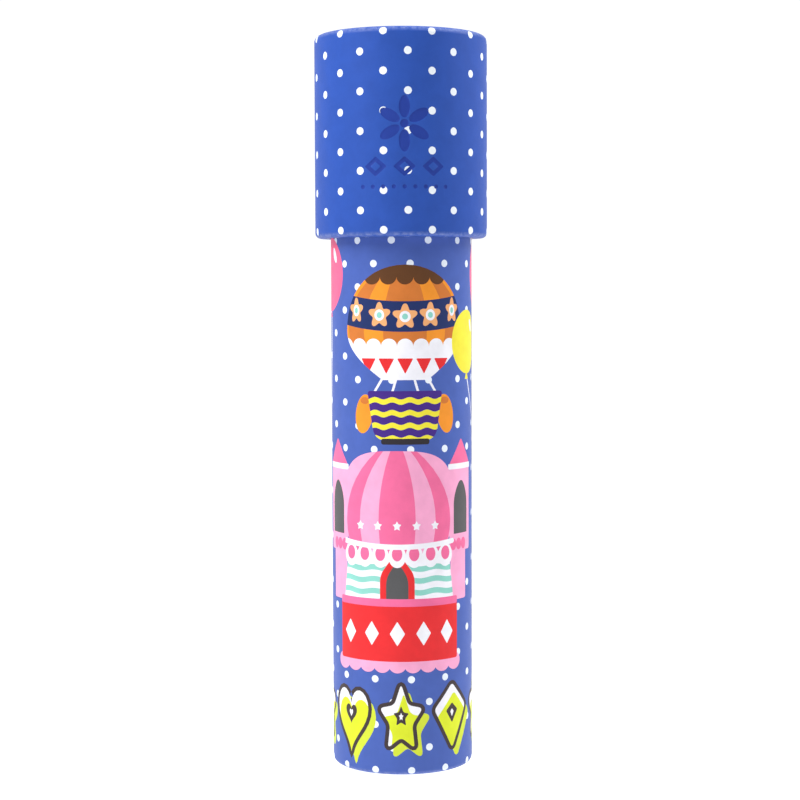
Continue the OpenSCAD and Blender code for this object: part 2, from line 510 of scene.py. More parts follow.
def envelope(cu, low, high, half, neck):
    """A hot-air balloon's outline: a round crown drawn in to a neck."""
    middle = high - half
    t = np.linspace(0, 1, 15)
    crown = np.linspace(0, math.pi / 2, 14)[1:]
    rise = np.concatenate([low + (middle - low) * t, middle + half * np.sin(crown)])
    reach = np.concatenate([neck + (half - neck) * np.sin(t * math.pi / 2),
                            half * np.cos(crown)])
    return symmetrical(cu, reach, rise)


def gores(skin, cu, low, high, half, dark, plain, shares):
    """Lens-shaped panels between a crown and a foot, dark and plain by turns, outermost first."""
    t = np.linspace(0, 1, 17)
    reach = np.sin(t * math.pi) ** 0.75
    rise = low + (high - low) * t
    return [Shape(ink, symmetrical(cu, share * half * reach, rise), skin)
            for ink, share in zip((dark, plain, dark), shares)]


def hot_air_balloon(cu):
    """An orange and white hot-air balloon with a belt of flowers and a striped basket."""
    half = 18.6
    skin = envelope(cu, 113.5, 146.0, half, 6.5)
    art = Art([Shape("orange", skin)])
    art += gores(skin, cu, 108.0, 148.5, half, "deep_orange", "orange", (0.96, 0.66, 0.34))
    art.add("brown", box(cu, 12, 142.4, 147.0), skin)
    art += scallops("brown", cu, 142.6, 4.8, 2, 2.4, 2.2, clip=skin)
    art.add("white", box(cu, 20, 112, 123.0), skin)
    art += scallops("white", cu, 123.0, 4.6, 4, 2.3, 2.2, clip=skin)
    belt = curve([(cu - 19.5, 133.6), (cu, 129.2), (cu + 19.5, 133.6)])
    art.add("navy", stroke(belt, 8.6, round_end=False), skin)
    for k in range(-2, 3):
        mid_u, mid_h = cu + 7.4 * k, 131.4 + 0.42 * k * k
        across = (3.5, 3.2, 2.3)[abs(k)]
        art.add("peach", flower(mid_u, mid_h, across * 2.1, 7.4))
        art.add("white", ellipse(mid_u, mid_h, across * 0.45, 1.6))
        art.add("teal", ellipse(mid_u, mid_h, across * 0.24, 0.85))
        art.add("red", triangle(cu + 5.4 * k, 2.3, 119.6, 115.2, 0.4), skin)
    for side in (-1, 1):
        for foot, head in ((9.6, 6.2), (4.0, 2.4)):
            rope = curve([(cu + side * head, 114.5), (cu + side * foot, 109.0)], 4)
            art.add("white", stroke(rope, 0.7))
        art.add("orange", ellipse(cu + side * 12.3, 103.8, 2.9, 5.6, side * 8))
        art.add("deep_orange", ellipse(cu + side * 12.0, 107.6, 1.5, 1.0))
    basket = soften([(cu - 9.0, 96.4), (cu + 9.0, 96.4), (cu + 11.2, 110.4), (cu - 11.2, 110.4)],
                    [3.5, 3.5, 1.2, 1.2])
    art.add("purple", basket)
    for k in range(4):
        art.add("yellow", wavy_band(cu, 107.6 - 3.6 * k, 12, 1.5), basket)
    art.add("black", box(cu, 7.0, 95.2, 96.9))
    return art


def tower(cu):
    """A pink side tower with a pointed roof and an arched window."""
    art = Art()
    art.add("deep_pink", triangle(cu, 5.6, 88.5, 96.5, 0.8))
    art.add("pink", box(cu, 5.2, 64.0, 88.5, 1.0))
    art.add("grey", arch(cu, 3.4, 69, 80, 86, 3, 4))
    art.add("white", box(cu, 5.6, 87.6, 89.2, 0.4))
    return art


def big_top(cu):
    """A pink show tent with two side towers, standing on a drum-shaped podium."""
    art = Art()
    for side in (-1, 1):
        art += tower(cu + side * 21.4)
        art.add("pink", box(cu + side * 20.2, 3.6, 50.0, 66.5))
        art += scallops("deep_pink", cu + side * 20.2, 66.0, 2.4, 1, 1.25, 1.7)
    wall = soften([(cu - 15.5, 68), (cu - 18.0, 48), (cu + 18.0, 48), (cu + 15.5, 68)], 0.8)
    art.add("white", wall)
    for k in range(4):
        art.add("teal", wavy_band(cu, 60.0 - 3.4 * k, 19, 1.6, 0.3, 9.0), wall)
    art.add("red", arch(cu, 5.0, 50, 58, 65, 2, 3))
    art.add("grey", arch(cu, 3.2, 50, 57, 62.4, 2, 3))
    art += podium(cu)
    roof = superellipse(cu, 78.0, 17.8, 15.4, 2.9)
    art.add("pink", roof)
    art += gores(roof, cu, 50.0, 97.0, 17.8, "deep_pink", "pink", (0.93, 0.64, 0.30))
    for k in range(-3, 4):
        art.add("white", ellipse(cu + 4.9 * k, 63.4, 2.5, 3.3))
        art.add("deep_pink", ellipse(cu + 4.9 * k, 64.0, 1.5, 2.0, n=18))
    eaves = curve([(cu - 17.3, 67.2), (cu, 64.9), (cu + 17.3, 67.2)])
    art.add("white", stroke(eaves, 1.5))
    for k in range(-2, 3):
        art.add("white", star(cu + 5.6 * k, 72.0, 2.6, 2.8))
    return art


def podium(cu):
    """A red drum with a row of diamonds and a scalloped pink foot."""
    half = 19.3
    art = Art(scallops("pink", cu, 32.4, 4.5, 4, 2.6, 2.5))
    art.add("red", box(cu, half, 33.2, 50.5))
    art.add("deep_pink", box(cu, half, 49.0, 51.2, 0.6))
    for k in range(-2, 3):
        art.add("white", diamond(cu + 7.6 * k, 41.2, 2.2, 3.5, 0.3))
    return art


def balloon(cu, ch, ru, rh, ink, string_low):
    """A toy balloon with its knot, a string that drifts towards its neighbour's, and a glint."""
    foot = ch - rh
    end_u = cu + 0.35 * (-33.7 - cu)
    line = curve([(cu, foot), (cu + 2.5, foot - 9), (end_u - 3, string_low + 12),
                  (end_u, string_low)])
    art = Art([Shape("white", stroke(line, 0.5))])
    art.add(ink, triangle(cu, 1.1, foot - 1.6, foot + 1.2, 0.3))
    art.add(ink, ellipse(cu, ch, ru, rh, n=40))
    art.add("white", ellipse(cu + ru * 0.45, ch + rh * 0.5, ru * 0.11, rh * 0.22, 25))
    return art


def toy_shape(kind, cu, ch):
    """One big outlined shape of the row near the eyepiece, with a highlight and a drop shadow."""
    width, height = 12.6, 19.0
    body = kind(cu, ch, width, height)
    return [
        Shape("shadow_lime", grow(body, 0.5) + (1.9, -2.4)),
        Shape("outline", grow(body, 1.15)),
        Shape("white", body),
        Shape("lime", body + (0.75, -2.6), body),
        Shape("outline", kind(cu, ch + 0.8, width * 0.36, height * 0.31)),
        Shape("white", kind(cu, ch + 0.8, width * 0.11, height * 0.12)),
    ]


def dot_rows(ink, r, first_phi, pitch_phi, first_h, pitch_h, rows, radius, u_low, u_high):
    """Rows of dots, each row half a pitch on from the one above."""
    art = Art()
    for row in range(rows):
        phi = first_phi + (pitch_phi / 2 if row % 2 else 0)
        first = math.ceil((u_low / radius - phi) / pitch_phi)
        last = math.floor((u_high / radius - phi) / pitch_phi)
        for i in range(first, last + 1):
            mid_u, mid_h = (phi + i * pitch_phi) * radius, first_h - row * pitch_h
            art.add(ink, ellipse(mid_u, mid_h, r, r, n=18))
    return art


def emblem():
    """A pressed rosette over three lozenges and a row of studs."""
    cu, ch, petal_at = 1.0, 185.0, 4.7
    art = Art()
    for k in range(6):
        a = math.radians(90 + 60 * k)
        petal = ellipse(cu + petal_at * math.cos(a), ch + petal_at * math.sin(a), 3.1, 1.55,
                        math.degrees(a))
        art.add("emblem", petal, sunk=True)
    art.add("emblem", ellipse(cu, ch, 1.2, 1.2), sunk=True)
    for k in (-1, 0, 1):
        mid_u, mid_h = cu + 8.2 * k, 173.2
        hole = diamond(mid_u, mid_h, 1.5, 1.3, 0.3)
        art.add("emblem", diamond(mid_u, mid_h, 3.2, 2.8, 0.4), holes=[hole], sunk=True)
    return art + scallops("emblem", cu, 167.6, 3.0, 4, 0.6, 0.6, sunk=True)


def tube_art(u_low, u_high):
    """The dots under the print, and the print: two pictures and eight toy shapes round the tube."""
    turn = TAU * TUBE_R
    art = []
    for cu in (0.0, -turn / 2):
        art += balloon(cu - 28.6, 143.5, 9.0, 10.8, "balloon", 66)
        art += balloon(cu - 41.0, 124.0, 7.6, 9.2, "yellow", 60)
        art += big_top(cu - 1.5)
        art += hot_air_balloon(cu + 1.0)
    for k, kind in enumerate([star, kite, flower, heart] * 2):
        art += toy_shape(kind, -0.5 + k * turn / 8, 16.6)
    wrapped = Art()
    for shape in art:
        for du in (-2 * turn, -turn, 0, turn):
            loop = shape.loop + (du, 0)
            if loop[:, 0].max() > u_low and loop[:, 0].min() < u_high:
                wrapped.add(shape.ink, loop, None if shape.clip is None else shape.clip + (du, 0))
    dots = dot_rows("dot", r=1.05, first_phi=-0.1375, pitch_phi=0.5156, first_h=152.9,
                    pitch_h=6.57, rows=26, radius=TUBE_R, u_low=u_low, u_high=u_high)
    return dots + wrapped


# ---- printed sheets ----

PRESS_SLOPE = 0.16
PRESS_DEPTH = 0.12
PRESS_TOL = 0.02
LAP_STEP = 0.12
LAP_RAMP = 7.0
PLEATS = 44
PLEAT_RAMP = 1.5
COLUMN_PITCH = 1.25
ROW_PITCH = 8.0
MERGE = 1e-4
NO_AREA = 1e-9
INNER_STEPS = 96
BAKE_MARGIN = 0.01
PRINT_SPAN = (0.92, 0.98)
BACK_START = 0.945
BACK_SPAN = (0.045, 0.98)


class Section:
    """A half section walked along the paper's outer face, its square corners rounded by arcs.

    h is the way walked, shifted so that it equals z on the outer wall.
    """

    def __init__(self, corners, radii, arc_steps=9):
        corners = [np.array(c, float) for c in corners]
        headings = [unit(b - a) for a, b in zip(corners, corners[1:])]
        right = [np.array([d[1], -d[0]]) for d in headings]
        points, normals = [corners[0]], [right[0]]
        for corner, r, d1, d2, n1, n2 in zip(corners[1:], radii, headings, headings[1:],
                                             right, right[1:]):
            centre = corner - d1 * r + d2 * r
            for a in np.linspace(0, math.pi / 2, arc_steps + 1):
                normals.append(n1 * math.cos(a) + n2 * math.sin(a))
                points.append(centre + r * normals[-1])
        self.points = np.array([*points, corners[-1]])
        self.normals = np.array([*normals, right[-1]])
        way = np.cumsum([0, *np.linalg.norm(np.diff(self.points, axis=0), axis=1)])
        wall = np.argmax(self.points[:, 0])
        self.h = way - way[wall] + self.points[wall, 1]

    def at(self, h):
        return [np.column_stack([np.interp(h, self.h, values[:, k]) for k in (0, 1)])
                for values in (self.points, self.normals)]


def triangulate(shapes, low, high, rows):
    """Points and triangles of the whole sheet, with every ink's edge and a curvature grid in it."""
    points, edges = [], []

    def add(loop, closed=True):
        first, count = len(points), len(loop)
        points.extend(map(tuple, loop))
        edges.extend((first + k, first + (k + 1) % count) for k in range(count if closed else 1))

    def add_outline(loop):
        """The loop held inside the sheet, without the doubled points that leaves."""
        held = np.clip(loop, low, high)
        held = held[np.linalg.norm(held - np.roll(held, 1, axis=0), axis=1) > MERGE]
        if len(held) > 2:
            add(held)

    columns = math.ceil((high[0] - low[0]) / COLUMN_PITCH) + 1
    for u in np.linspace(low[0], high[0], columns):
        add([(u, low[1]), (u, high[1])], closed=False)
    for h in rows:
        add([(low[0], h), (high[0], h)], closed=False)
    for shape in shapes:
        loops = [(shape.loop, -PRESS_SLOPE), *((hole, PRESS_SLOPE) for hole in shape.holes)]
        for loop, slope in loops:
            add_outline(loop)
            if shape.sunk:
                add_outline(grow(loop, slope))
    verts, _, faces, *_ = delaunay_2d_cdt([Vector(p) for p in points], edges, [], 0, MERGE)
    verts = np.array([tuple(v) for v in verts])
    faces = np.array([f for f in faces if len(f) == 3])
    b, c = ((verts[faces[:, k]] - verts[faces[:, 0]]).T for k in (1, 2))
    area = b[0] * c[1] - b[1] * c[0]
    faces[area < 0] = faces[area < 0][:, ::-1]
    return verts, faces[np.abs(area) > NO_AREA]


def inks_of(middles, shapes, base):
    """The inks on the sheet, and the number of the one at each of the points."""
    inks, ink_of = [base], np.zeros(len(middles), int)
    for shape in shapes:
        if shape.ink not in inks:
            inks.append(shape.ink)
        ink_of[shape.covers(middles)] = inks.index(shape.ink)
    return inks, ink_of


def relief(flat, u_high, radius, shapes, pleats):
    """How far out the lap, the pressed marks and the turned-in flap's pleats move the paper."""
    out = -LAP_STEP * smoothstep(1 - (u_high - flat[:, 0]) / LAP_RAMP)
    pressed = np.zeros(len(flat), bool)
    for shape in (s for s in shapes if s.sunk):
        floor = inside(flat, grow(shape.loop, PRESS_TOL - PRESS_SLOPE))
        for hole in shape.holes:
            floor &= ~inside(flat, grow(hole, PRESS_SLOPE - PRESS_TOL))
        pressed |= floor
    out[pressed] -= PRESS_DEPTH
    start, direction, depth = pleats
    turned_in = smoothstep((flat[:, 1] - start) * direction / PLEAT_RAMP)
    a = flat[:, 0] / radius
    return out - depth * turned_in * (0.5 + 0.5 * np.sin(a * PLEATS + 1.2 * np.sin(a * 5)))


def zipper(a, a_at, b, b_at):
    """Triangles between two rows of vertices, a below b, both from left to right."""
    out, i, j = [], 0, 0
    while i < len(a) - 1 or j < len(b) - 1:
        if j == len(b) - 1 or (i < len(a) - 1 and a_at[i + 1] <= b_at[j + 1]):
            out.append((a[i], a[i + 1], b[j]))
            i += 1
        else:
            out.append((a[i], b[j + 1], b[j]))
            j += 1
    return out


def inner_side(flat, low, high, radius, hidden):
    """The plain side's points, in rings, and the triangles that close the sheet with them."""
    ring_u = np.linspace(low[0], high[0], INNER_STEPS + 1)
    points = [spin(r, ring_u[:-1] / radius, z) for r, z in hidden]
    rings = [[len(flat) + i * INNER_STEPS + k % INNER_STEPS for k in range(INNER_STEPS + 1)]
             for i in range(len(hidden))]

    def row(mask, axis):
        found = np.where(mask)[0]
        found = found[np.argsort(flat[found, axis])]
        return list(found), list(flat[found, axis])

    tight = 1e-5
    top, top_at = row(flat[:, 1] > high[1] - tight, 0)
    foot, foot_at = row(flat[:, 1] < low[1] + tight, 0)
    faces = zipper(*row(flat[:, 0] < low[0] + tight, 1), *row(flat[:, 0] > high[0] - tight, 1))
    faces += zipper(top, top_at, rings[0], ring_u) + [(top[-1], top[0], rings[0][0])]
    for a, b in zip(rings, rings[1:]):
        faces += zipper(a, ring_u, b, ring_u)
    faces += zipper(rings[-1], ring_u, foot, foot_at) + [(rings[-1][0], foot[0], foot[-1])]
    return np.vstack(points), np.array(faces)


def crossed(points, faces):
    a, b, c = (points[faces[:, k]] for k in range(3))
    return np.cross(b - a, c - a)


def summed_normals(points, faces):
    total = np.zeros_like(points)
    for k in range(3):
        np.add.at(total, faces[:, k], crossed(points, faces))
    return unit(total)


def bake_layout(mesh, flat, low, high, hidden, faces, extra):
    """The print fills most of its baked image, and the plain side has a strip beside it."""
    share = (flat - low) / (high - low)
    ring_z = np.array([z for _, z in hidden])
    ring_up = (ring_z - ring_z.min()) / np.ptp(ring_z)
    rings = [(k / INNER_STEPS, up) for up in ring_up for k in range(INNER_STEPS)]
    print_uv = share[faces] * PRINT_SPAN + BAKE_MARGIN
    back_uv = np.vstack([share, rings])[extra] * BACK_SPAN + (BACK_START, BAKE_MARGIN)
    uv = mesh.uv_layers.new(name="OFBake")
    uv.data.foreach_set("uv", np.vstack([print_uv, back_uv]).ravel())


def paper_sheet(name, section, hidden, radius, u_low, shapes, base, wall, pleats, edges):
    """A closed skin of printed paper: the face with its inks, and a plain inner side.

    hidden lists the inner side's (radius, z) from the face's far end back to its near one.
    wall is the (low, high) between which the face has a row of points now and then.
    pleats is (h where they start, direction up or down, depth) of the turned-in flap.
    """
    rows = [*section.h, *np.arange(*wall, ROW_PITCH)]
    low = np.array([u_low, section.h[0]])
    high = np.array([u_low + TAU * radius, section.h[-1]])
    flat, faces = triangulate(shapes, low, high, rows)
    inks, ink_of = inks_of(flat[faces].mean(axis=1), shapes, base)

    spot, normal = section.at(flat[:, 1])
    a = flat[:, 0] / radius
    plain = spin(spot[:, 0], a, spot[:, 1])
    outwards = spin(normal[:, 0], a, normal[:, 1])
    face = plain + outwards * relief(flat, high[0], radius, shapes, pleats)[:, None]
    smooth = unit(outwards + summed_normals(face, faces) - summed_normals(plain, faces))

    inner, extra = inner_side(flat, low, high, radius, hidden)
    points = np.vstack([face, inner])
    mesh = bpy.data.meshes.new(name)
    mesh.from_pydata(points * MM, [], [*faces.tolist(), *extra.tolist()])
    for ink in inks:
        mesh.materials.append(printed(f"{name}_{ink}", INKS[ink], edges))
    mesh.materials.append(board("paper_back", linear(226, 222, 212)))
    slots = np.concatenate([ink_of, np.full(len(extra), len(inks))])
    mesh.polygons.foreach_set("material_index", slots.astype(np.int32))
    mesh.shade_smooth()
    bake_layout(mesh, flat, low, high, hidden, faces, extra)
    flat_normals = np.repeat(unit(crossed(points, extra)), 3, axis=0)
    mesh.normals_split_custom_set(np.vstack([smooth[faces.ravel()], flat_normals]).tolist())
    mesh.update()
    return link(bpy.data.objects.new(name, mesh))


def tube_sheet():
    """The tube's paper, from the flap inside the eyepiece end up to just inside the cap."""
    seam = math.pi / 2 * TUBE_R
    u_low = seam - TAU * TUBE_R
    section = Section([(PLUG_R, TUBE_LOW + FLAP_L), (PLUG_R, TUBE_LOW), (TUBE_R, TUBE_LOW),
                       (TUBE_R, TUBE_TOP)], [FOLD_R, TUBE_EDGE_R])
    inner_r = PLUG_R + PAPER_T
    hidden = [(TUBE_R - PAPER_T, TUBE_TOP), (TUBE_R - PAPER_T, TUBE_LOW + TUBE_EDGE_R),
              (TUBE_R - TUBE_EDGE_R, TUBE_LOW + PAPER_T), (inner_r, TUBE_LOW + PAPER_T),
              (inner_r, TUBE_LOW + FLAP_L)]
    return paper_sheet("tube_print", section, hidden, TUBE_R, u_low, tube_art(u_low, seam), "blue",
                       wall=(ROW_PITCH, TUBE_TOP - 2), pleats=(TUBE_LOW - 1.0, -1, 0.04),
                       edges=[(TUBE_LOW + 1.3, TUBE_LOW + 0.4, TUBE_LOW)])


def cap_sheet():
    """The cap's paper, from its mouth's lip up the wall, over the rim and down inside it."""
    mouth_r, flap_r = TUBE_R + TURN_GAP, CAP_IN - PAPER_T
    section = Section([(mouth_r, CAP_LOW + PAPER_T), (mouth_r, CAP_LOW), (CAP_R, CAP_LOW),
                       (CAP_R, CAP_TOP), (flap_r, CAP_TOP), (flap_r, RING_TOP)],
                      [FOLD_R, MOUTH_EDGE_R, RIM_EDGE_R, FOLD_R])
    hidden = [(CAP_IN, RING_TOP), (CAP_IN, CAP_TOP - PAPER_T),
              (CAP_R - RIM_EDGE_R, CAP_TOP - PAPER_T), (CAP_R - PAPER_T, CAP_TOP - RIM_EDGE_R),
              (CAP_R - PAPER_T, CAP_LOW + MOUTH_EDGE_R), (CAP_R - MOUTH_EDGE_R, CAP_LOW + PAPER_T)]
    half = math.pi * CAP_R
    dots = dot_rows("cap_dot", r=1.1, first_phi=-0.1968, pitch_phi=0.5528, first_h=210.6,
                    pitch_h=5.5, rows=12, radius=CAP_R, u_low=-half, u_high=half)
    return paper_sheet("cap_print", section, hidden, CAP_R, -half, dots + emblem(), "cap_blue",
                       wall=(CAP_LOW + ROW_PITCH, CAP_TOP - 4), pleats=(CAP_TOP + 1.6, 1, 0.10),
                       edges=[(CAP_LOW + 1.5, CAP_LOW + 0.5, CAP_LOW),
                              (CAP_TOP - 1.6, CAP_TOP - 0.5, CAP_TOP)])


# ---- turned and cut pieces ----

def link(obj):
    bpy.context.scene.collection.objects.link(obj)
    return obj


def place(body, pieces):
    """Puts pieces on a body, each given as (object, slot, the node that it replaces); the slot is not
    used.
    """
    for obj, slot, node in pieces:
        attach(obj, body)
        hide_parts(node)


def solid(name, points, faces, material, sharp=38):
    """A closed mesh in millimetres, with doubled points merged and its normals outwards."""
    mesh = bpy.data.meshes.new(name)
    mesh.from_pydata(np.asarray(points) * MM, [], faces)
    bm = bmesh.new()
    bm.from_mesh(mesh)
    bmesh.ops.remove_doubles(bm, verts=bm.verts, dist=1e-7)
    bmesh.ops.recalc_face_normals(bm, faces=bm.faces)
    bm.to_mesh(mesh)
    bm.free()
    mesh.materials.append(material)
    mesh.shade_smooth()
    mesh.set_sharp_from_angle(angle=math.radians(sharp))
    return link(bpy.data.objects.new(name, mesh))


def stacked(loops, bored=True):
    """Points and faces of a solid through a list of (loop, z), closed on itself or by fans."""
    n = len(loops[0][0])
    points = [np.column_stack([loop, np.full(n, z)]) for loop, z in loops]
    bands = [(i, (i + 1) % len(loops)) for i in range(len(loops) if bored else len(loops) - 1)]
    faces = [(i * n + k, i * n + (k + 1) % n, j * n + (k + 1) % n, j * n + k)
             for i, j in bands for k in range(n)]
    if not bored:
        foot, head, last = len(loops) * n, len(loops) * n + 1, (len(loops) - 1) * n
        points.append([(*loop.mean(0), z) for loop, z in (loops[0], loops[-1])])
        faces += [((k + 1) % n, k, foot) for k in range(n)]
        faces += [(last + k, last + (k + 1) % n, head) for k in range(n)]
    return np.vstack(points), faces


def circle_stack(outline, n=144):
    """Points and faces of a solid of revolution from a closed outline of (radius, z)."""
    return stacked([(circle(r, n), z) for r, z in outline])


def lathe(name, outline, material, size=0.25):
    """A turned solid with the corners of its outline softened."""
    return solid(name, *circle_stack(soften(outline, size, 4)), material)


def ring(name, node, inner_r, material, size):
    r, low, high = extent(node)
    return lathe(name, [(inner_r, low), (r, low), (r, high), (inner_r, high)], material, size)


def disc(name, node, material, size=0.2):
    return ring(name, node, 0, material, [0, size, size, 0])


# ---- prism and eyepiece ----

EYE_R = 5.0
MIRROR_BEVEL = 0.18
FOLD_T = 0.5
FOLD_GAP = 0.1
FOLD_SHARPNESS = 90


def eyepiece_plug():
    """Moulded plug with a dished eye hole, a window boss and a thin skirt."""
    boss_in, _, retainer_top = extent("window_retainer")
    plate, boss_out, boss_top, groove = extent("eyepiece_window")[1], 11.0, retainer_top + 0.4, 0.3
    outline = [(EYE_R + 4.2, 0), (14.2, 0), (14.3, groove), (14.9, groove), (15.0, 0),
               (PLUG_R, 0), (PLUG_R, PLUG_TOP), (PLUG_R - 1.5, PLUG_TOP),
               (PLUG_R - 1.5, plate), (boss_out, plate), (boss_out, boss_top),
               (boss_in, boss_top), (boss_in, plate), (EYE_R, plate), (EYE_R, 1.4)]
    corners = [1.2, 0.1, 0.05, 0.05, 0.1, 0.8, 0.3, 0.3, 0.5, 0.5, 0.4, 0.2, 0.1, 0.4, 0.5]
    material = plastic("plug_plastic", linear(40, 40, 43), 0.55, 4.0, 0.02)
    return lathe("eyepiece_plug_moulding", outline, material, corners)


def retainer():
    outer, low, high = extent("window_retainer")
    inner = EYE_R + 1.2
    outline = [(inner, low), (outer, low), (outer, high - 0.4), (outer - 0.5, high),
               (inner + 0.6, high), (inner, high - 0.5)]
    material = plastic("snap_ring_plastic", linear(48, 48, 52), 0.45, 4.0, 0.02)
    return lathe("window_snap_ring", outline, material, 0.15)


def mirror(name, turn, silver, backing):
    """A bevelled strip, silvered on the side towards the axis and painted grey behind."""
    size = (2 * MIRROR_HALF, MIRROR_OUT - MIRROR_IN, PRISM_TOP - PRISM_LOW)
    middle = (0, -(MIRROR_OUT + MIRROR_IN) / 2, (PRISM_TOP + PRISM_LOW) / 2)
    bm = bmesh.new()
    bmesh.ops.create_cube(bm, matrix=Matrix.Translation(middle) @ Matrix.Diagonal((*size, 1)))
    bmesh.ops.bevel(bm, geom=bm.edges[:], offset=MIRROR_BEVEL, segments=2, profile=0.6,
                    affect="EDGES")
    for face in bm.faces:
        face.material_index = 0 if face.calc_center_median().y > -MIRROR_IN - 1e-3 else 1
    bm.transform(Matrix.Scale(MM, 4) @ Matrix.Rotation(math.radians(turn), 4, "Z"))
    mesh = bpy.data.meshes.new(name)
    bm.to_mesh(mesh)
    bm.free()
    mesh.materials.append(silver)
    mesh.materials.append(backing)
    mesh.shade_smooth()
    mesh.set_sharp_from_angle(angle=math.radians(20))
    return link(bpy.data.objects.new(name, mesh))


def fold_loop(extra):
    """The folded card's outline: a triangle with its corners cut off, its folds rounded."""
    side = MIRROR_OUT + FOLD_GAP + extra
    corner = MIRROR_HALF * math.cos(math.pi / 6) + MIRROR_OUT / 2 + FOLD_GAP + extra
    rim = circle(1)
    reach = np.zeros(len(rim))
    for k in range(6):
        a = math.radians(30 + 60 * k)
        flat = corner if k % 2 else side
        reach += np.maximum(rim @ (math.cos(a), math.sin(a)) / flat, 0) ** FOLD_SHARPNESS
    return rim * reach[:, None] ** (-1 / FOLD_SHARPNESS)


def mirror_sleeve():
    inner, outer = fold_loop(0), fold_loop(FOLD_T)
    loops = [(inner, PRISM_LOW), (outer, PRISM_LOW), (outer, PRISM_TOP), (inner, PRISM_TOP)]
    return solid("mirror_card_sleeve", *stacked(loops), folded_card())


def centring_ring(node, material):
    """A foam-board ring, round outside and bored to the folded card's outline."""
    r, low, high = extent(node)
    soft = 0.25
    inner, outer, edge = fold_loop(FOLD_T), circle(r), circle(r - soft)
    loops = [(inner, low), (edge, low), (outer, low + soft),
             (outer, high - soft), (edge, high), (inner, high)]
    return solid(node + "_board", *stacked(loops), material)


def tube_parts():
    greyboard = rolled_board("tube_greyboard", linear(150, 132, 108))
    clear = clear_sheet("clear_acrylic", (0.96, 0.98, 0.98, 1))
    silver, backing = silvering(), plastic("mirror_backing", linear(120, 122, 126), 0.6)
    foam = foam_board()
    place("tube", [
        (tube_sheet(), "tube_print", "tube_wrap"),
        (ring("tube_board", "main_tube", BOARD_IN, greyboard, [0.2, 1.35, 0.3, 0.3]),
         "greyboard", "main_tube"),
        (eyepiece_plug(), "eyepiece_plastic", "eyepiece_plug"),
        (disc("eyepiece_window_disc", "eyepiece_window", clear), "clear_plastic",
         "eyepiece_window"),
        (retainer(), "retainer_plastic", "window_retainer"),
        *((mirror(node + "_strip", turn, silver, backing), "mirror_strip", node)
          for node, turn in (("mirror_base", 0), ("mirror_right", 120), ("mirror_left", 240))),
        (mirror_sleeve(), "folded_card", "mirror_sleeve"),
        *((centring_ring(node, foam), "foam_board", node)
          for node in ("lower_centring_ring", "upper_centring_ring")),
        (ring("retaining_collar_board", "retaining_collar", BOARD_R, greyboard, 0.35),
         "greyboard", "retaining_collar")])


# ---- cap and cell ----

CELL_R = CAP_IN - 1.5
COVER_WIDTH = 2.6


def bearing_ring(material):
    """The ring that runs on the bare tube, opened out at the mouth for the tube's paper."""
    r, low, high = extent("cap_bearing_ring")
    run_r, mouth_r, mouth_top = BOARD_R + 0.08, TUBE_R + TURN_GAP, CAP_LOW + 1.6
    outline = [(mouth_r, low), (r, low), (r, high), (run_r, high), (run_r, mouth_top),
               (mouth_r, mouth_top)]
    return lathe("cap_bearing_board", outline, material, 0.15)


def cap_parts():
    greyboard = rolled_board("cap_greyboard", linear(158, 140, 116))
    clear = clear_sheet("clear_polystyrene", (0.97, 0.98, 0.99, 1))
    walls = plastic("cell_wall_plastic", linear(240, 240, 236), 0.4)
    covered = printed("ring_cover_paper", INKS["cap_blue"])
    place("cap", [
        (cap_sheet(), "cap_print", "cap_wrap"),
        (ring("cap_board", "cap_sleeve", CAP_IN, greyboard, [0.2, 1.58, 1.8, 0.2]),
         "greyboard", "cap_sleeve"),
        (bearing_ring(greyboard), "greyboard", "cap_bearing_ring"),
        (ring("cell_seat_board", "cell_seat_ring", BOARD_R + TURN_GAP, greyboard, 0.3),
         "greyboard", "cell_seat_ring"),
        (disc("cell_clear_disc", "cell_inner_window", clear), "clear_plastic",
         "cell_inner_window"),
        (ring("cell_wall_ring", "cell_ring", CELL_R, walls, 0.3), "cell_plastic", "cell_ring"),
        (disc("frosted_disc", "cell_diffuser", frosted(), 0.25), "frosted_plastic",
         "cell_diffuser"),
        (ring("front_cover_ring", "front_ring", CAP_IN - COVER_WIDTH, covered, 0.7),
         "ring_paper", "front_ring")])


# ---- loose beads ----

BEAD_COUNT = 42
BEAD_KINDS = 7
BEAD_SIZE = 4.4
BEAD_LIFT = 0.05
GOLDEN_ANGLE = math.radians(137.508)
OWN_TURN = math.radians(47)
BEAD_PITCH = (CELL_R - TURN_GAP - BEAD_SIZE / 2) / math.sqrt(BEAD_COUNT - 0.5)


def upright(points, lift):
    """A shape spun about Z laid down along X and raised."""
    return np.column_stack([points[:, 2], points[:, 1], lift - points[:, 0]])


def glass_round():
    r, hole = 1.9, 0.5
    reach, bend = math.sqrt(r * r - hole * hole), math.acos(hole / r)
    outline = [(r * math.cos(t), r * math.sin(t)) for t in np.linspace(-bend, bend, 19)]
    outline += [(hole, reach * k) for k in (0.5, 0.0, -0.5)]
    points, faces = circle_stack(outline, 28)
    return upright(points, r), faces


def bugle():
    r, hole, half = 0.9, 0.4, 2.0
    outline = soften([(hole, -half), (r, -half), (r, half), (hole, half)], 0.15, 3)
    points, faces = circle_stack(outline, 20)
    return upright(points, r), faces


def torus():
    wire = 0.6
    return circle_stack(circle(wire, 14) + (BEAD_SIZE / 2 - wire, wire), 32)


def cut_stone():
    """A hexagonal stone: table, crown, a thin girdle, and the same below."""
    tiers = [(1.08, 0.0), (1.50, 0.95), (2.14, 1.42), (2.14, 1.58), (1.50, 2.05), (1.08, 3.0)]
    hexagon = turned(circle(1 / math.cos(math.pi / 6), 6), math.pi / 6)
    return stacked([(hexagon * apothem, z) for apothem, z in tiers], bored=False)


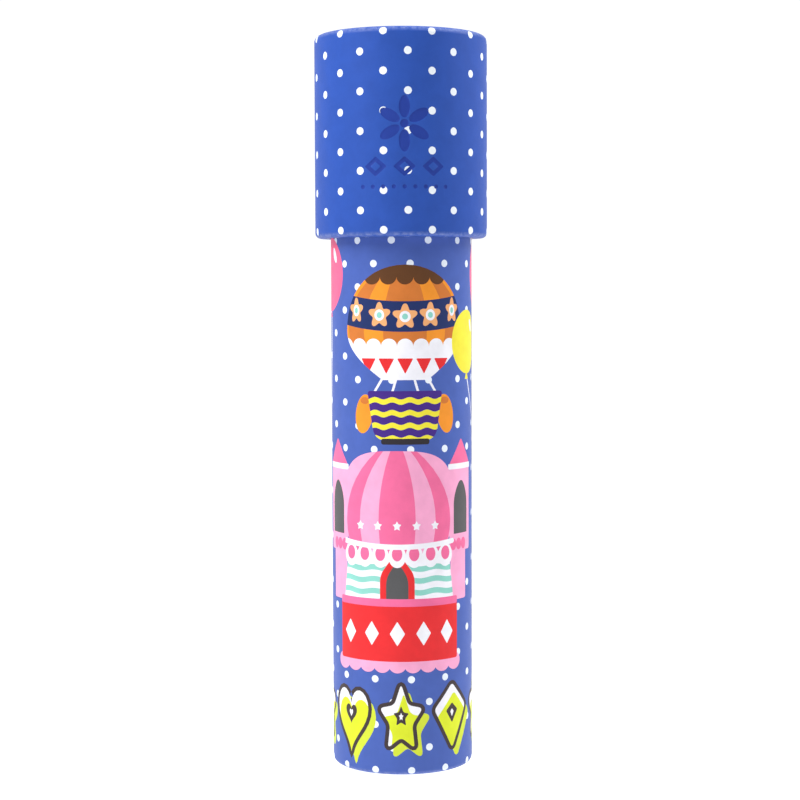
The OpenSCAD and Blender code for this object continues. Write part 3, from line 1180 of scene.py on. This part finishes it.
def sequin_star():
    rim = circle(1, 10) * np.tile([2.1, 1.0], 5)[:, None]
    return stacked([(rim * 0.97, 0.0), (rim, 0.06), (rim, 0.16), (rim * 0.86, 0.26),
                    (rim * 0.05, 0.5)], bored=False)


def sequin_flower():
    """Six dished petals round a sewing hole."""
    n, petal_at, petal_r = 72, 1.3, 0.8
    a = np.arange(n) * TAU / n
    off = np.abs((a + math.pi / 6) % (math.pi / 3) - math.pi / 6)
    half_chord = np.sqrt(np.maximum(petal_r ** 2 - (petal_at * np.sin(off)) ** 2, 0))
    rim = circle(1, n) * (petal_at * np.cos(off) + half_chord)[:, None]
    hole = circle(0.4, n)
    return stacked([(hole, 0.0), (rim * 0.98, 0.22), (rim, 0.3), (rim, 0.42), (rim * 0.97, 0.5),
                    (rim * 0.6 + hole * 0.4, 0.3), (hole, 0.2)])


def chip():
    rim = soften(circle(2.1, 3), 0.5, 4)
    return stacked([(rim * 0.95, 0.0), (rim, 0.08), (rim, 0.78), (rim * 0.93, 0.9)], bored=False)


def scattered(name, first, make, material, sharp):
    """Every seventh place of a sunflower spiral, each bead also turned by its own angle."""
    points, faces, count = [], [], 0
    shape, sides = make()
    for i in range(first, BEAD_COUNT, BEAD_KINDS):
        flat = turned(shape, i * OWN_TURN) + (BEAD_PITCH * math.sqrt(i + 0.5), 0)
        flat = turned(flat, i * GOLDEN_ANGLE)
        points.append(np.column_stack([flat, shape[:, 2] + CELL_FLOOR + BEAD_LIFT]))
        faces += [tuple(v + count for v in side) for side in sides]
        count += len(shape)
    return solid(name, np.vstack(points), faces, material, sharp)


def beads():
    kinds = [
        ("glass_rounds", "glass_bead", "round_beads", glass_round, 40, "round_glass",
         [(214, 20, 44), (20, 120, 214), (26, 160, 80), (244, 196, 30)],
         dict(Transmission_Weight=0.85, IOR=1.5)),
        ("cut_stones", "cut_stone", "gem_beads", cut_stone, 8, "stone_acrylic",
         [(30, 170, 230), (236, 70, 150), (140, 80, 220)],
         dict(Transmission_Weight=1.0, IOR=1.55)),
        ("bugles", "bugle_bead", "tube_beads", bugle, 40, "bugle_glass",
         [(246, 190, 40), (250, 120, 40), (230, 230, 240)], dict(rough=0.12)),
        ("rings", "plastic_ring", "ring_beads", torus, 40, "ring_plastic",
         [(70, 190, 70), (30, 180, 190), (250, 90, 60)], dict(rough=0.2)),
        ("foil_stars", "star_foil", "star_sequins", sequin_star, 12, "star_foil",
         [(240, 70, 150), (236, 190, 70), (200, 206, 216)], dict(rough=0.22, Metallic=1.0)),
        ("foil_flowers", "flower_foil", "flower_sequins", sequin_flower, 30, "flower_foil",
         [(140, 90, 220), (240, 120, 180), (90, 170, 240)], dict(rough=0.22, Metallic=1.0)),
        ("film_chips", "colour_film", "colour_chips", chip, 30, "chip_film",
         [(250, 130, 20), (60, 190, 90), (230, 40, 60)],
         dict(rough=0.1, Transmission_Weight=0.9, IOR=1.49)),
    ]
    place("beads", [
        (scattered(name, first, make, bead_material(material, colours, **look), sharp), slot, node)
        for first, (name, slot, node, make, sharp, material, colours, look) in enumerate(kinds)])


# ---- the stage ----

FLOOR_R = 9000
BACKDROP = 1.05
WORLD_LIGHT = 0.06
LIGHT_TARGET = Vector((0, 0, 0.15))
CAMERA_AT = (-0.0004, -0.5434, 0.1395)
CAMERA_DOWN = math.radians(3.46)
CAMERA_ROLL = math.radians(0.2)
LENS_MM = 83.57
SENSOR_MM = 36.0


def studio():
    """A white world that lights the pieces only faintly, a floor and two softboxes."""
    world = bpy.data.worlds.new("studio_world")
    bpy.context.scene.world = world
    world.use_nodes = True
    tree = world.node_tree
    back = tree.nodes["Background"]
    back.inputs["Color"].default_value = (1, 1, 1, 1)
    path = tree.nodes.new("ShaderNodeLightPath")
    strength = tree.nodes.new("ShaderNodeMapRange")
    strength.inputs["To Min"].default_value = BACKDROP
    strength.inputs["To Max"].default_value = WORLD_LIGHT
    tree.links.new(path.outputs["Is Diffuse Ray"], strength.inputs["Value"])
    tree.links.new(strength.outputs["Result"], back.inputs["Strength"])
    floor()
    softbox("key_softbox", azimuth=-60, reach=0.68, height=0.90, size=(0.45, 0.8), strength=1.30)
    softbox("fill_softbox", azimuth=98, reach=0.68, height=0.84, size=(0.40, 0.8), strength=1.04)


def softbox(name, azimuth, reach, height, size, strength):
    """A soft light round from the front towards +X; at strength 1 it turns a card facing it white."""
    at = Vector(spin(reach, math.radians(azimuth), height))
    away = (at - LIGHT_TARGET).length
    data = bpy.data.lights.new(name, "AREA")
    data.shape = "RECTANGLE"
    data.size, data.size_y = size
    data.energy = strength * (math.pi * away) ** 2
    obj = link(bpy.data.objects.new(name, data))
    obj.location = at
    obj.rotation_euler = (LIGHT_TARGET - at).to_track_quat("-Z", "Y").to_euler()


def floor():
    """A pale sheet lit from within, most of all near the middle, and clear from underneath."""
    n = Nodes("studio_floor", Specular_IOR_Level=0.1, Emission_Color=(1, 1, 1, 1))
    n.fill(n.shader, {
        "Base Color": n.blend(n.noise(0.004, 2), (0.28, 0.28, 0.28, 1), (0.30, 0.30, 0.30, 1)),
        "Roughness": n.spread(n.noise(0.01, 2), 0.7, 0.9),
        "Emission Strength": n.spread(n.away(n.place), 1.2, 0.95, 0.06, 0.45)})
    mix = n.new("MixShader")
    n.feed(mix.inputs, (n.new("NewGeometry").outputs["Backfacing"], n.shader.outputs["BSDF"],
                        n.new("BsdfTransparent").outputs["BSDF"]))
    n.tree.links.new(mix.outputs["Shader"], n.tree.nodes["Material Output"].inputs["Surface"])
    rim = circle(FLOOR_R, 96)
    mesh = bpy.data.meshes.new("studio_floor_sheet")
    mesh.from_pydata(np.column_stack([rim, np.zeros(len(rim))]) * MM, [], [list(range(len(rim)))])
    mesh.materials.append(n.material)
    return link(bpy.data.objects.new("studio_floor_sheet", mesh))


def camera():
    data = bpy.data.cameras.new("camera")
    data.sensor_width = SENSOR_MM
    data.lens = LENS_MM
    data.clip_start, data.clip_end = 0.01, 50
    obj = link(bpy.data.objects.new("camera", data))
    obj.location = CAMERA_AT
    obj.rotation_euler = (math.pi / 2 - CAMERA_DOWN, CAMERA_ROLL, 0)
    bpy.context.scene.camera = obj


tube_parts()
cap_parts()
beads()
studio()
camera()
bpy.context.scene.view_settings.view_transform = "Standard"
